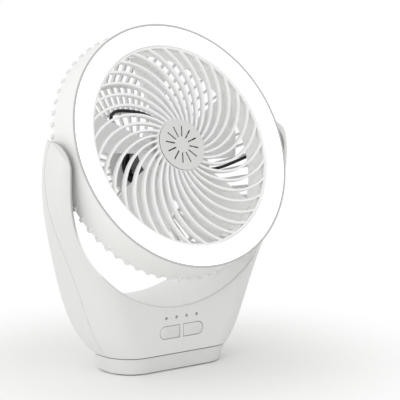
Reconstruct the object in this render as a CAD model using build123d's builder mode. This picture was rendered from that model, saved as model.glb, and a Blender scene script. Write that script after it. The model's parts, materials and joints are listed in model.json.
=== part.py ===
"""Rechargeable desk fan: a tilting drum head with a light ring, held in a U-shaped base."""

import os
from math import cos, radians, sin

from build123d import *

# Stance: origin on the floor under the middle of the base, front towards -Y
HEAD_RADIUS = 100.0
HEAD_FLARE = 1.0
HEAD_ROOM = 4.0
HEAD_TILT = 24.5
WALL = 2.2
SEAT = 0.1
FIT = 0.3
RUN_FIT = 0.05
REAR_RADIUS = HEAD_RADIUS + HEAD_FLARE
REACH = 3 * HEAD_RADIUS

# Saddle: the head turns in it, on a pivot above its centre
SADDLE_RADIUS = REAR_RADIUS + HEAD_ROOM
SADDLE_FLOOR = 52.0
SADDLE_DROP = 15.0
SADDLE_EDGE = 1.2
SADDLE_Z = SADDLE_FLOOR + SADDLE_RADIUS
PIVOT_Y = -11.0
PIVOT_Z = SADDLE_Z + SADDLE_DROP

# Yoke outline: half width, rear edge and corner radius at each height
PART_LINE = 14.7
FRONT_Y = -29.0
BASE_HALF = 57.8
ARM_THICK = 9.5
ARM_HALF = SADDLE_RADIUS + ARM_THICK
HEIGHT_SHARES = (0, 0.237, 0.485, 0.733, 1, 1.153)
HALF_SHARES = (0, 0.355, 0.623, 0.908, 1, 0.85)
SECTION_Z = [PART_LINE + share * (PIVOT_Z - PART_LINE) for share in HEIGHT_SHARES]
SECTION_HALF = [BASE_HALF + share * (ARM_HALF - BASE_HALF) for share in HALF_SHARES]
SECTION_REAR = (25.9, 37.4, 28.5, 12.4, 4.2, 5.5)
SECTION_CORNER = (24.0, 24.0, 20.0, 15.0, 12.0, 11.0)
SEAM_Y = -7.4
SEAM_GAP = 0.35
ARM_TIP_RISE = 17.5
ARM_TIP_BACK = 8.0
ARM_FRONT_DROP = 4.0

# Base tray, foot pad and hook
PAD_THICK = 1.0
PAD_INSET = 2.6
PAD_CORNER = 16.0
FOOT_TAPER = 5.1
FOOT_HALF = BASE_HALF - FOOT_TAPER
FOOT_DEPTH_HALF = 25.0
FOOT_CORNER = 22.0
TRAY_FLOOR = 2.4
TRAY_INSET = 0.5
TRAY_GROOVE = 0.6
TRAY_GROOVE_DEEP = 0.9
HOOK_WIRE = 1.8
HOOK_X = 7.0
HOOK_Z = 3.6
HOOK_BAR_HALF = 11.0
HOOK_STEM = 8.0
HOOK_BEND = 4.0
HOOK_BEND_TURN = 73.0
HOOK_CROOK = 9.5
HOOK_CROOK_TURN = 250.0
HOOK_END = HOOK_X + HOOK_STEM + (HOOK_BEND + HOOK_CROOK) * sin(radians(HOOK_BEND_TURN)) + HOOK_CROOK
NICHE_ROOM = 2.5
NICHE_HALF = 12.0
NICHE_DEPTH = 6.5
NICHE_WALL = 1.6
LUG_THICK = 3.0
LUG_HALF_X = 3.2
LUG_Y = 7.5

# Screws
SCREW_RADIUS = 1.4
SCREW_PILOT = 1.5
SCREW_HEAD = 2.7
SCREW_HEAD_TALL = 1.8
SCREW_BOSS = 4.6
SCREW_SINK = 3.1
BASE_SCREW_ROOM = 5.5
BASE_SCREW_Y = 18.0
BASE_SCREW_LENGTH = 20.0
BASE_BOSS_TALL = 9.0
BASE_BOSS_RIB = 2.0
SHELL_SCREW_PLACES = ((-44.0, 31.0), (44.0, 31.0), (-50.0, 51.0), (50.0, 51.0))
SHELL_SCREW_SEAT = 3.0
SHELL_SCREW_LENGTH = 20.0

# Buttons, indicators and board
BUTTON_WIDE = 19.7
BUTTON_TALL = 10.0
BUTTON_GAP = 3.6
BUTTON_Z = 32.0
BUTTON_TRAVEL = 0.6
BUTTON_LIP = 1.2
BUTTON_LIP_THICK = 1.0
DOT_RADIUS = 0.95
DOT_PITCH = 10.06
DOT_Z = 43.5
DOT_COUNT = 4
DOT_FLANGE = 1.7
DOT_FLANGE_THICK = 0.8
BOARD_HALF = 31.0
BOARD_LOW = 20.0
BOARD_HIGH = 48.0
BOARD_THICK = 1.6
SWITCH_WIDE = 6.0
SWITCH_TALL = 2.2
POST_RADIUS = 2.6
POST_PIN = 1.2
POST_X = 28.0
POST_ROWS = (22.8, 45.2)

# Battery and charging socket
CELL_RADIUS = 9.2
CELL_LENGTH = 65.0
CELL_PITCH = 19.6
CELL_Y = 2.0
CELL_Z = 27.5
CRADLE_HALF = 27.0
CRADLE_LOW = 13.0
CRADLE_TOP = 22.0
CRADLE_RIM = 1.6
CRADLE_POST = 2.4
CRADLE_POST_X = 24.0
CRADLE_POST_Y = 16.6
SOCKET_WIDE = 8.9
SOCKET_TALL = 3.2
SOCKET_LONG = 7.4
SOCKET_Z = 43.0
SOCKET_SINK = 0.7
SOCKET_SHELL = 0.35
SOCKET_ROUND = 1.5
SOCKET_BACK = 1.0
SOCKET_TONGUE = 0.7
SOCKET_TONGUE_WIDE = 6.6
CHARGE_WIDE = 20.0
CHARGE_LONG = 13.0
CHARGE_THICK = 1.6
CHARGE_SETBACK = 2.4
RAIL_X = 7.0
RAIL_WIDE = 3.0
RAIL_TALL = 2.0

# Pivots
AXLE_RADIUS = 4.0
AXLE_BORE = 1.6
AXLE_FLANGE = 5.3
AXLE_PROUD = 4.6
BOSS_DEEP = 6.0
AXLE_FLANGE_THICK = 2.0
AXLE_END = SADDLE_RADIUS + AXLE_PROUD
BOSS_RADIUS = 5.4
BOSS_INNER = HEAD_RADIUS - BOSS_DEEP
WASHER_THICK = 1.5
BOSS_FACE = SADDLE_RADIUS - WASHER_THICK - SEAT
WASHER_RADIUS = 9.0
BUSH_RADIUS = 6.2
BUSH_FLANGE = 8.0
BUSH_FLANGE_THICK = 1.0
CLIP_RADIUS = 6.0
CLIP_THICK = 0.8

# Head drum, light ring and front grille
HEAD_WALL = 1.6
HEAD_LIP = 0.6
HEAD_FRONT = 21.0
DRUM_DEPTH = 26.5
RING_BAND = 17.7
DUCT_RADIUS = HEAD_RADIUS - RING_BAND
DUCT_WALL = 2.0
WEB_LOW = 11.0
WEB_HIGH = 13.0
LEDGE_WIDE = 1.7
LEDGE_THICK = 2.0
LENS_SKIN = 2.0
LENS_LEG = 1.4
LED_RADIUS = HEAD_RADIUS - RING_BAND / 2
LED_BOARD_HALF = RING_BAND / 4
LED_BOARD_THICK = 1.2
LED_COUNT = 36
LED_WIDE = 3.5
LED_LONG = 2.8
LED_TALL = 0.8
GRILLE_RING_WALL = 1.8
VANE_COUNT = 33
VANE_THICK = 1.7
VANE_DEPTH = 4.4
VANE_SWEEP = 52.5
VANE_ROOT = 1.2
GRILLE_SINK = 1.4
GRILLE_HUB = 21.5
GRILLE_HUB_HOLE = 16.8
CAP_RADIUS = 20.8
CAP_THICK = 1.4
CAP_EDGE = 0.5
CAP_SKIRT = 1.0
CAP_SKIRT_TALL = 4.0
CAP_SLOTS = 12
CAP_SLOT_IN = 6.6
CAP_SLOT_OUT = 15.4
CAP_SLOT_WIDE = 1.2

# Rear cage
CAGE_BACK = -46.0
CAGE_BAR = 3.0
CAGE_BARS = 64
CAGE_BAR_THICK = 1.6
CAGE_TOOTH = 2.6
CAGE_PROUD = 1.2
CAGE_TAPER = 29.0
CAGE_SHOULDER = HEAD_RADIUS - CAGE_TAPER
CAGE_FLANGE_THICK = 2.4
CAGE_FLANGE_IN = DUCT_RADIUS + DUCT_WALL + FIT
CAGE_HUB = 26.0
CAGE_RING = (CAGE_HUB + CAGE_SHOULDER) / 2
CAGE_RING_WIDE = 2.4
COVER_SCREWS = 6
COVER_SCREW_TURN = 30.0
COVER_SCREW_R = LED_RADIUS
COVER_SCREW_LENGTH = 12.0
COVER_BOSS = 3.4

# Impeller
BLADE_COUNT = 5
BLADE_TURN = 14.0
BLADE_ROOM = 3.3
BLADE_ROOT = 3.0
BLADE_TIP = DUCT_RADIUS - BLADE_ROOM
BLADE_OVER = 9.0
BLADE_CHORDS = (24.0, 44.0, 60.0)
BLADE_THICKS = (2.6, 2.0, 1.6)
BLADE_LEVELS = (0.5, -2.0, -4.0)
BLADE_PITCHES = (48.0, 34.0, 26.0)
HUB_RADIUS = 22.0
BLADE_RADII = (HUB_RADIUS - BLADE_ROOT, (HUB_RADIUS + BLADE_TIP) / 2, BLADE_TIP + BLADE_OVER)
HUB_INNER = 17.4
HUB_REAR = -9.0
HUB_FRONT = 10.0
HUB_FLOOR = 3.0
HUB_BOSS = 5.0
HUB_BOSS_TALL = 10.0
NUT_RADIUS = 4.4
NUT_TALL = 4.0

# Motor
SHAFT_RADIUS = 1.5
SHAFT_REAR = -42.0
SHAFT_FRONT = 6.0
CAN_RADIUS = 18.0
CAN_WALL = 1.3
CAN_REAR = -27.0
MAGNET_THICK = 1.6
MAGNET_REAR = -26.0
MAGNET_FRONT = -12.0
STATOR_CORE = 8.0
STATOR_REAR = -33.0
STATOR_FRONT = -13.0
TOOTH_COUNT = 9
TOOTH_WIDE = 2.0
TOOTH_TIP = 13.6
SHOE_THICK = 1.4
SHOE_WIDE = 6.4
COIL_IN = 8.6
COIL_OUT = 12.0
COIL_WIDE = 4.6
COIL_END = 1.6
MOUNT_TUBE = 5.9
MOUNT_BORE = 3.2
MOUNT_FRONT = -12.5
MOUNT_FLANGE = 15.0
MOUNT_FLANGE_THICK = 2.2
MOUNT_SCREWS = 3
MOUNT_SCREW_TURN = 30.0
MOUNT_SCREW_R = 11.0
MOUNT_SCREW_HEAD = 2.2
MOUNT_SCREW_LENGTH = 4.6
MOUNT_COLLAR = 7.5
MOTOR_BOARD_OUT = 16.0
MOTOR_BOARD_REAR = -38.0
MOTOR_BOARD_THICK = 1.4
BUSH_LONG = 4.0
BUSH_LEVELS = (-40.0, -17.0)

# Leads
LEAD_RADIUS = 1.3
LEAD_HOLE = 3.4
LEAD_START = 16.8
LEAD_START_TURN = 116.0
LEAD_TURNS = (104.0, 84.0, 64.0, 44.0, 24.0, 6.0)
LEAD_SIDE_TURN = -6.5
LEAD_HOLE_TURN = -4.5
ARM_LEAD_RADIUS = 0.8
ARM_LEAD_OUT = 3.6
ARM_LEAD_TURNS = (4.0, 16.0, 30.0, 45.0, 58.0)
ARM_LEAD_END = ((41.5, -15.0, 51.5), (34.0, -18.0, 43.5), (29.0, -19.6, 36.0))

HEAD_SIN = sin(radians(HEAD_TILT))
HEAD_COS = cos(radians(HEAD_TILT))
HEAD = Plane(origin=(0, PIVOT_Y, PIVOT_Z), x_dir=(1, 0, 0), z_dir=(0, -HEAD_COS, HEAD_SIN))
HEAD_AXIS = Axis(HEAD.origin, HEAD.z_dir)
DRUM_REAR = HEAD_FRONT - DRUM_DEPTH
INNER_FRONT = FRONT_Y + WALL
BUTTON_BACK = INNER_FRONT + SEAT + BUTTON_LIP_THICK
SWITCH_FRONT = BUTTON_BACK + BUTTON_TRAVEL + SEAT
BOARD_FRONT = SWITCH_FRONT + SWITCH_TALL
BUTTON_X = (BUTTON_GAP + BUTTON_WIDE) / 2
TRAY_DECK = PAD_THICK + TRAY_FLOOR
NICHE_LOW_X = HOOK_X - LUG_HALF_X - NICHE_ROOM / 2
NICHE_HIGH_X = HOOK_END + HOOK_WIRE + NICHE_ROOM
NICHE_LENGTH = NICHE_HIGH_X - NICHE_LOW_X
NICHE_X = (NICHE_LOW_X + NICHE_HIGH_X) / 2
GRILLE_FACE = HEAD_FRONT - GRILLE_SINK
LEDGE_HIGH = GRILLE_FACE - VANE_DEPTH
LEDGE_INNER = DUCT_RADIUS - LEDGE_WIDE
GRILLE_RING = DUCT_RADIUS - FIT
CAGE_FACE = CAGE_BACK + CAGE_BAR
CAGE_RADIUS = REAR_RADIUS + CAGE_PROUD
CAGE_ROOT = DRUM_REAR - CAGE_TOOTH
LEAD_LEVEL = CAGE_FACE + LEAD_RADIUS + 2 * FIT
LEAD_RISE = LED_RADIUS
MOUNT_FACE = CAGE_FACE + MOUNT_FLANGE_THICK
BASE_SCREW_X = CELL_LENGTH / 2 + BASE_SCREW_ROOM
BASE_CORNERS = [(x, y) for x in (-BASE_SCREW_X, BASE_SCREW_X) for y in (-BASE_SCREW_Y, BASE_SCREW_Y)]
SIDES = (("left", -1), ("right", 1))


def radial_plane(degrees):
    """The plane through the head's axis at an angle: radius along x, forward along y."""
    along = HEAD.x_dir * cos(radians(degrees)) + HEAD.y_dir * sin(radians(degrees))
    return Plane(origin=HEAD.origin, x_dir=along, z_dir=along.cross(HEAD.z_dir))


def outward_plane(degrees, radius, level):
    """The plane across a radius of the head, facing outward, with x along the circle."""
    along = HEAD.x_dir * cos(radians(degrees)) + HEAD.y_dir * sin(radians(degrees))
    spot = HEAD.origin + along * radius + HEAD.z_dir * level
    return Plane(origin=spot, x_dir=HEAD.z_dir.cross(along), z_dir=along)


def polar(radius, degrees):
    """A point of the head's plane from its radius and angle."""
    return (radius * cos(radians(degrees)), radius * sin(radians(degrees)))


def pivot_plane(side, distance):
    """The plane across the pivot axis, facing outward on the given side."""
    return Plane(origin=(side * distance, PIVOT_Y, PIVOT_Z), x_dir=(0, 1, 0), z_dir=(side, 0, 0))


def rearward(x, y, z):
    """An upright plane at a point, facing the rear."""
    return Plane(origin=(x, y, z), x_dir=(1, 0, 0), z_dir=(0, 1, 0))


def tube(plane, outer, inner, length, mode=Mode.ADD):
    """A round tube or, with no inner radius, a solid rod, standing on a plane."""
    with BuildSketch(plane) as outline:
        Circle(outer)
        if inner:
            Circle(inner, mode=Mode.SUBTRACT)
    extrude(outline.sketch, amount=length, mode=mode)


def block(plane, wide, tall, length, mode=Mode.ADD):
    """A box standing on a plane."""
    with BuildSketch(plane) as outline:
        Rectangle(wide, tall)
    extrude(outline.sketch, amount=length, mode=mode)


def head_tube(outer, inner, low, high, mode=Mode.ADD):
    """A ring around the head's axis between two levels."""
    tube(HEAD.offset(low), outer, inner, high - low, mode)


def screw(plane, head, length):
    """A pan-head screw with its shank along the plane's normal."""
    tube(plane, SCREW_RADIUS, 0, length)
    tube(plane, head, 0, -SCREW_HEAD_TALL)


def yoke_loft(shrink):
    """The yoke's outline, drawn in all round by a wall thickness."""
    sections = []
    for height, half, rear, corner in zip(SECTION_Z, SECTION_HALF, SECTION_REAR, SECTION_CORNER):
        front = FRONT_Y + shrink
        back = rear - shrink
        with BuildSketch(Plane(origin=(0, (front + back) / 2, height))) as outline:
            RectangleRounded(2 * (half - shrink), back - front, corner - shrink)
        sections.append(outline.sketch)
    loft(sections)


def saddle_cut(radius):
    """The U-shaped room for the head, cut through from front to rear."""
    with BuildSketch(Plane.XZ) as outline:
        with Locations((0, SADDLE_Z)):
            Circle(radius)
        with Locations((0, SADDLE_Z + REACH / 2)):
            Rectangle(2 * radius, REACH)
    extrude(outline.sketch, amount=REACH, both=True, mode=Mode.SUBTRACT)


def arm_top_cut(shrink):
    """The rounded arm top, cut away across both arms."""
    front = FRONT_Y + shrink
    middle = PIVOT_Y + ARM_TIP_BACK
    low = PIVOT_Z - ARM_FRONT_DROP
    high = PIVOT_Z + ARM_TIP_RISE - shrink
    with BuildSketch(Plane.YZ) as outline:
        with BuildLine():
            EllipticalCenterArc((middle, low), middle - front, high - low, start_angle=90)
            Polyline((front, low), (front - REACH, low), (front - REACH, high + REACH),
                     (middle + REACH, high + REACH), (middle + REACH, high), (middle, high))
        make_face()
    extrude(outline.sketch, amount=REACH, both=True, mode=Mode.SUBTRACT)


def tray_loft(low, shrink):
    """The base tray's outline from a given height up to the parting line."""
    front = FRONT_Y + TRAY_INSET + shrink
    back = SECTION_REAR[0] - TRAY_INSET - shrink
    half = SECTION_HALF[0] - TRAY_INSET - shrink
    with BuildSketch(Plane.XY.offset(low)) as foot:
        RectangleRounded(2 * (FOOT_HALF - shrink), 2 * (FOOT_DEPTH_HALF - shrink), FOOT_CORNER - shrink)
    with BuildSketch(Plane(origin=(0, (front + back) / 2, PART_LINE))) as rim:
        RectangleRounded(2 * half, back - front, SECTION_CORNER[0] - shrink)
    return [foot.sketch, rim.sketch]


def button_face(side, level, grow):
    """The D-shaped outline of a button, rounded on its outer side."""
    with BuildSketch(rearward(side * BUTTON_X, level, BUTTON_Z)) as outline:
        with Locations((side * (BUTTON_WIDE - BUTTON_TALL) / 2, 0)):
            Circle(BUTTON_TALL / 2 + grow)
        with Locations((-side * (BUTTON_TALL / 4 + grow / 2), 0)):
            Rectangle(BUTTON_WIDE - BUTTON_TALL / 2 + grow, BUTTON_TALL + 2 * grow)
    return outline.sketch


def dot_places():
    """Where the indicator lights stand across the front."""
    return [(place - (DOT_COUNT - 1) / 2) * DOT_PITCH for place in range(DOT_COUNT)]


def finish(builder, label):
    """Name a finished piece and write it out."""
    builder.part.label = label
    export_step(builder.part, f"parts/{label}.step")


os.makedirs("parts", exist_ok=True)

# Yoke: one hollow body, then parted at the seam
with BuildPart() as yoke_solid:
    yoke_loft(0)
    saddle_cut(SADDLE_RADIUS)
    arm_top_cut(0)

SOCKET_LINE = Axis((0, 0, SOCKET_Z), (0, 1, 0))
SOCKET_FACE = max(spot.Y for spot, _ in yoke_solid.part.find_intersection_points(SOCKET_LINE)) - SOCKET_SINK
CHARGE_REAR = SOCKET_FACE - CHARGE_SETBACK

with BuildPart() as yoke_room:
    yoke_loft(WALL)
    saddle_cut(SADDLE_RADIUS + WALL)
    arm_top_cut(WALL)

with BuildPart() as front_bosses:
    for x, z in SHELL_SCREW_PLACES:
        tube(rearward(x, SEAM_Y, z), SCREW_BOSS, 0, -REACH)
    for x in (-BASE_SCREW_X, BASE_SCREW_X):
        tube(Plane(origin=(x, -BASE_SCREW_Y, PART_LINE)), SCREW_BOSS, 0, BASE_BOSS_TALL)
        block(rearward(x, -BASE_SCREW_Y, PART_LINE + BASE_BOSS_TALL / 2),
              BASE_BOSS_RIB, BASE_BOSS_TALL, -REACH)
    for x in (-POST_X, POST_X):
        for z in POST_ROWS:
            tube(rearward(x, BOARD_FRONT, z), POST_RADIUS, 0, -REACH)
            tube(rearward(x, BOARD_FRONT + BOARD_THICK, z), POST_PIN, 0, -REACH)
    add(yoke_solid.part, mode=Mode.INTERSECT)

with BuildPart() as yoke_front_shell:
    add(yoke_solid.part)
    add(yoke_room.part, mode=Mode.SUBTRACT)
    split(bisect_by=Plane.XZ.offset(-SEAM_Y), keep=Keep.TOP)
    add(front_bosses.part)
    for x, z in SHELL_SCREW_PLACES:
        tube(rearward(x, SEAM_Y, z), SCREW_PILOT, 0,
             SHELL_SCREW_SEAT - SHELL_SCREW_LENGTH - SEAM_Y, Mode.SUBTRACT)
    for x in (-BASE_SCREW_X, BASE_SCREW_X):
        tube(Plane(origin=(x, -BASE_SCREW_Y, PART_LINE)), SCREW_PILOT, 0, BASE_BOSS_TALL, Mode.SUBTRACT)
    for name, side in SIDES:
        extrude(button_face(side, FRONT_Y, FIT), amount=WALL, mode=Mode.SUBTRACT)
        tube(pivot_plane(side, SADDLE_RADIUS), BUSH_RADIUS + RUN_FIT, 0, WALL, Mode.SUBTRACT)
    for x in dot_places():
        tube(rearward(x, FRONT_Y, DOT_Z), DOT_RADIUS + FIT, 0, WALL, Mode.SUBTRACT)
finish(yoke_front_shell, "yoke_front_shell")

with BuildPart() as rear_bosses:
    for x, z in SHELL_SCREW_PLACES:
        tube(rearward(x, SEAM_Y, z), SCREW_BOSS, 0, REACH)
    for x in (-BASE_SCREW_X, BASE_SCREW_X):
        tube(Plane(origin=(x, BASE_SCREW_Y, PART_LINE)), SCREW_BOSS, 0, BASE_BOSS_TALL)
        block(rearward(x, BASE_SCREW_Y, PART_LINE + BASE_BOSS_TALL / 2), BASE_BOSS_RIB, BASE_BOSS_TALL, REACH)
    for x in (-RAIL_X, RAIL_X):
        rail_z = SOCKET_Z - SOCKET_TALL / 2 - CHARGE_THICK - RAIL_TALL / 2
        block(rearward(x, CHARGE_REAR - CHARGE_LONG, rail_z), RAIL_WIDE, RAIL_TALL, REACH)
    add(yoke_solid.part, mode=Mode.INTERSECT)

with BuildPart() as yoke_rear_shell:
    add(yoke_solid.part)
    add(yoke_room.part, mode=Mode.SUBTRACT)
    split(bisect_by=Plane.XZ.offset(-SEAM_Y - SEAM_GAP), keep=Keep.BOTTOM)
    add(rear_bosses.part)
    for x, z in SHELL_SCREW_PLACES:
        tube(rearward(x, SEAM_Y, z), SCREW_PILOT, 0, SHELL_SCREW_SEAT - SEAM_Y, Mode.SUBTRACT)
        tube(rearward(x, SHELL_SCREW_SEAT, z), SCREW_SINK, 0, REACH, Mode.SUBTRACT)
    for x in (-BASE_SCREW_X, BASE_SCREW_X):
        tube(Plane(origin=(x, BASE_SCREW_Y, PART_LINE)), SCREW_PILOT, 0, BASE_BOSS_TALL, Mode.SUBTRACT)
    for name, side in SIDES:
        tube(pivot_plane(side, SADDLE_RADIUS), BUSH_RADIUS + RUN_FIT, 0, WALL, Mode.SUBTRACT)
    with BuildSketch(rearward(0, CHARGE_REAR, SOCKET_Z)) as slot:
        RectangleRounded(SOCKET_WIDE + 2 * FIT, SOCKET_TALL + 2 * FIT, SOCKET_ROUND)
    extrude(slot.sketch, amount=REACH, mode=Mode.SUBTRACT)
finish(yoke_rear_shell, "yoke_rear_shell")

# Base tray with the hook's niche, foot pad and hook
with BuildPart() as tray_solid:
    loft(tray_loft(PAD_THICK, 0))
    groove_front = FRONT_Y + TRAY_INSET + TRAY_GROOVE_DEEP
    groove_rear = SECTION_REAR[0] - TRAY_INSET - TRAY_GROOVE_DEEP
    groove_half = SECTION_HALF[0] - TRAY_INSET - TRAY_GROOVE_DEEP
    with BuildSketch(Plane(origin=(0, (groove_front + groove_rear) / 2, PART_LINE))) as groove:
        Rectangle(REACH, REACH)
        RectangleRounded(2 * groove_half, groove_rear - groove_front,
                         SECTION_CORNER[0] - TRAY_GROOVE_DEEP, mode=Mode.SUBTRACT)
    extrude(groove.sketch, amount=-TRAY_GROOVE, mode=Mode.SUBTRACT)

with BuildPart() as base_tray:
    add(tray_solid.part)
    loft(tray_loft(TRAY_DECK, WALL), mode=Mode.SUBTRACT)
    block(Plane(origin=(NICHE_X, 0, PAD_THICK)), NICHE_LENGTH + 2 * NICHE_WALL,
          2 * (NICHE_HALF + NICHE_WALL), NICHE_DEPTH + NICHE_WALL)
    block(Plane(origin=(NICHE_X, 0, PAD_THICK)), NICHE_LENGTH, 2 * NICHE_HALF, NICHE_DEPTH, Mode.SUBTRACT)
    for side in (-1, 1):
        block(Plane(origin=(HOOK_X, side * (LUG_Y + LUG_THICK / 2), PAD_THICK)),
              2 * LUG_HALF_X, LUG_THICK, NICHE_DEPTH)
    tube(rearward(HOOK_X, -LUG_Y - LUG_THICK, HOOK_Z), HOOK_WIRE + RUN_FIT, 0,
         2 * (LUG_Y + LUG_THICK), Mode.SUBTRACT)
    for x in (-CRADLE_POST_X, CRADLE_POST_X):
        for y in (-CRADLE_POST_Y, CRADLE_POST_Y):
            tube(Plane(origin=(x, y, TRAY_DECK)), CRADLE_POST, 0, CRADLE_LOW - TRAY_DECK)
    for x, y in BASE_CORNERS:
        tube(Plane(origin=(x, y, TRAY_DECK)), SCREW_BOSS, 0, PART_LINE - TRAY_DECK)
        tube(Plane(origin=(x, y, PAD_THICK)), SCREW_PILOT, 0, PART_LINE, Mode.SUBTRACT)
        tube(Plane(origin=(x, y, PAD_THICK)), SCREW_SINK, 0, SCREW_HEAD_TALL, Mode.SUBTRACT)
finish(base_tray, "base_tray")

with BuildPart() as foot_pad:
    with BuildSketch(Plane.XY) as pad_face:
        RectangleRounded(2 * (FOOT_HALF - PAD_INSET), 2 * (FOOT_DEPTH_HALF - PAD_INSET), PAD_CORNER)
        with Locations((NICHE_X, 0)):
            Rectangle(NICHE_LENGTH, 2 * NICHE_HALF, mode=Mode.SUBTRACT)
    extrude(pad_face.sketch, amount=PAD_THICK)
finish(foot_pad, "foot_pad")

with BuildPart() as hanging_hook:
    with BuildLine(Plane.XY.offset(HOOK_Z)) as wire_path:
        stem = Line((HOOK_X, 0), (HOOK_X + HOOK_STEM, 0))
        bend = JernArc(stem @ 1, stem % 1, HOOK_BEND, -HOOK_BEND_TURN)
        JernArc(bend @ 1, bend % 1, HOOK_CROOK, HOOK_CROOK_TURN)
    with BuildSketch(Plane(origin=(HOOK_X, 0, HOOK_Z), x_dir=(0, 1, 0), z_dir=(1, 0, 0))) as wire:
        Circle(HOOK_WIRE)
    sweep(wire.sketch, path=wire_path.line)
    tube(rearward(HOOK_X, -HOOK_BAR_HALF, HOOK_Z), HOOK_WIRE, 0, 2 * HOOK_BAR_HALF)
finish(hanging_hook, "hanging_hook")

with BuildPart() as base_screws:
    for x, y in BASE_CORNERS:
        screw(Plane(origin=(x, y, PAD_THICK + SCREW_HEAD_TALL)), SCREW_HEAD, BASE_SCREW_LENGTH)
finish(base_screws, "base_screws")

with BuildPart() as shell_screws:
    for x, z in SHELL_SCREW_PLACES:
        screw(Plane(origin=(x, SHELL_SCREW_SEAT, z), x_dir=(1, 0, 0), z_dir=(0, -1, 0)),
              SCREW_HEAD, SHELL_SCREW_LENGTH)
finish(shell_screws, "shell_screws")

# Controls
for name, side in SIDES:
    with BuildPart() as button:
        extrude(button_face(side, FRONT_Y, 0), amount=WALL + SEAT)
        extrude(button_face(side, INNER_FRONT + SEAT, BUTTON_LIP), amount=BUTTON_LIP_THICK)
    finish(button, "light_button" if side < 0 else "fan_button")

with BuildPart() as indicator_lenses:
    for x in dot_places():
        tube(rearward(x, FRONT_Y, DOT_Z), DOT_RADIUS, 0, BOARD_FRONT - FIT - FRONT_Y)
        tube(rearward(x, INNER_FRONT, DOT_Z), DOT_FLANGE, 0, DOT_FLANGE_THICK)
finish(indicator_lenses, "indicator_lenses")

with BuildPart() as control_board:
    board_z = (BOARD_LOW + BOARD_HIGH) / 2
    block(rearward(0, BOARD_FRONT, board_z), 2 * BOARD_HALF, BOARD_HIGH - BOARD_LOW, BOARD_THICK)
    for x in (-POST_X, POST_X):
        for z in POST_ROWS:
            tube(rearward(x, BOARD_FRONT, z), POST_PIN + SEAT, 0, BOARD_THICK, Mode.SUBTRACT)
finish(control_board, "control_board")

with BuildPart() as tact_switches:
    for name, side in SIDES:
        block(rearward(side * BUTTON_X, SWITCH_FRONT, BUTTON_Z), SWITCH_WIDE, SWITCH_WIDE, SWITCH_TALL)
finish(tact_switches, "tact_switches")

# Battery and charging
CELL_ROWS = (CELL_Y - CELL_PITCH / 2, CELL_Y + CELL_PITCH / 2)
with BuildPart() as battery_cells:
    for y in CELL_ROWS:
        tube(Plane(origin=(-CELL_LENGTH / 2, y, CELL_Z), x_dir=(0, 1, 0), z_dir=(1, 0, 0)),
             CELL_RADIUS, 0, CELL_LENGTH)
finish(battery_cells, "battery_cells")

with BuildPart() as battery_cradle:
    block(Plane(origin=(0, CELL_Y, CRADLE_LOW)), 2 * CRADLE_HALF,
          CELL_PITCH + 2 * CELL_RADIUS + 2 * CRADLE_RIM, CRADLE_TOP - CRADLE_LOW)
    for y in CELL_ROWS:
        tube(Plane(origin=(-CRADLE_HALF, y, CELL_Z), x_dir=(0, 1, 0), z_dir=(1, 0, 0)),
             CELL_RADIUS + SEAT, 0, 2 * CRADLE_HALF, Mode.SUBTRACT)
finish(battery_cradle, "battery_cradle")

with BuildPart() as charge_board:
    board_y = CHARGE_REAR - CHARGE_LONG / 2
    block(Plane(origin=(0, board_y, SOCKET_Z - SOCKET_TALL / 2)), CHARGE_WIDE, CHARGE_LONG, -CHARGE_THICK)
finish(charge_board, "charge_board")

with BuildPart() as usb_c_socket:
    with BuildSketch(rearward(0, SOCKET_FACE - SOCKET_LONG, SOCKET_Z)) as socket_body:
        RectangleRounded(SOCKET_WIDE, SOCKET_TALL, SOCKET_ROUND)
    extrude(socket_body.sketch, amount=SOCKET_LONG)
    with BuildSketch(rearward(0, SOCKET_FACE - SOCKET_LONG + SOCKET_BACK, SOCKET_Z)) as socket_mouth:
        RectangleRounded(SOCKET_WIDE - 2 * SOCKET_SHELL, SOCKET_TALL - 2 * SOCKET_SHELL,
                         SOCKET_ROUND - SOCKET_SHELL)
    extrude(socket_mouth.sketch, amount=SOCKET_LONG, mode=Mode.SUBTRACT)
    block(rearward(0, SOCKET_FACE - SOCKET_LONG, SOCKET_Z), SOCKET_TONGUE_WIDE, SOCKET_TONGUE,
          SOCKET_LONG - SOCKET_BACK)
finish(usb_c_socket, "usb_c_socket")

# Pivots
for name, side in SIDES:
    with BuildPart() as axle:
        tube(pivot_plane(side, BOSS_INNER - AXLE_FLANGE_THICK), AXLE_FLANGE, AXLE_BORE, AXLE_FLANGE_THICK)
        tube(pivot_plane(side, BOSS_INNER), AXLE_RADIUS, AXLE_BORE, AXLE_END - BOSS_INNER)
    finish(axle, f"pivot_axle_{name}")
    with BuildPart() as washer:
        tube(pivot_plane(side, BOSS_FACE + SEAT), WASHER_RADIUS, AXLE_RADIUS + FIT,
             WASHER_THICK)
    finish(washer, f"friction_washer_{name}")
    with BuildPart() as bush:
        tube(pivot_plane(side, SADDLE_RADIUS), BUSH_RADIUS, AXLE_RADIUS + RUN_FIT, WALL)
        tube(pivot_plane(side, SADDLE_RADIUS + WALL), BUSH_FLANGE, AXLE_RADIUS + RUN_FIT, BUSH_FLANGE_THICK)
    finish(bush, f"pivot_bush_{name}")
    with BuildPart() as clip:
        tube(pivot_plane(side, SADDLE_RADIUS + WALL + BUSH_FLANGE_THICK + FIT),
             CLIP_RADIUS, AXLE_RADIUS + RUN_FIT, CLIP_THICK)
    finish(clip, f"pivot_clip_{name}")

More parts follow.
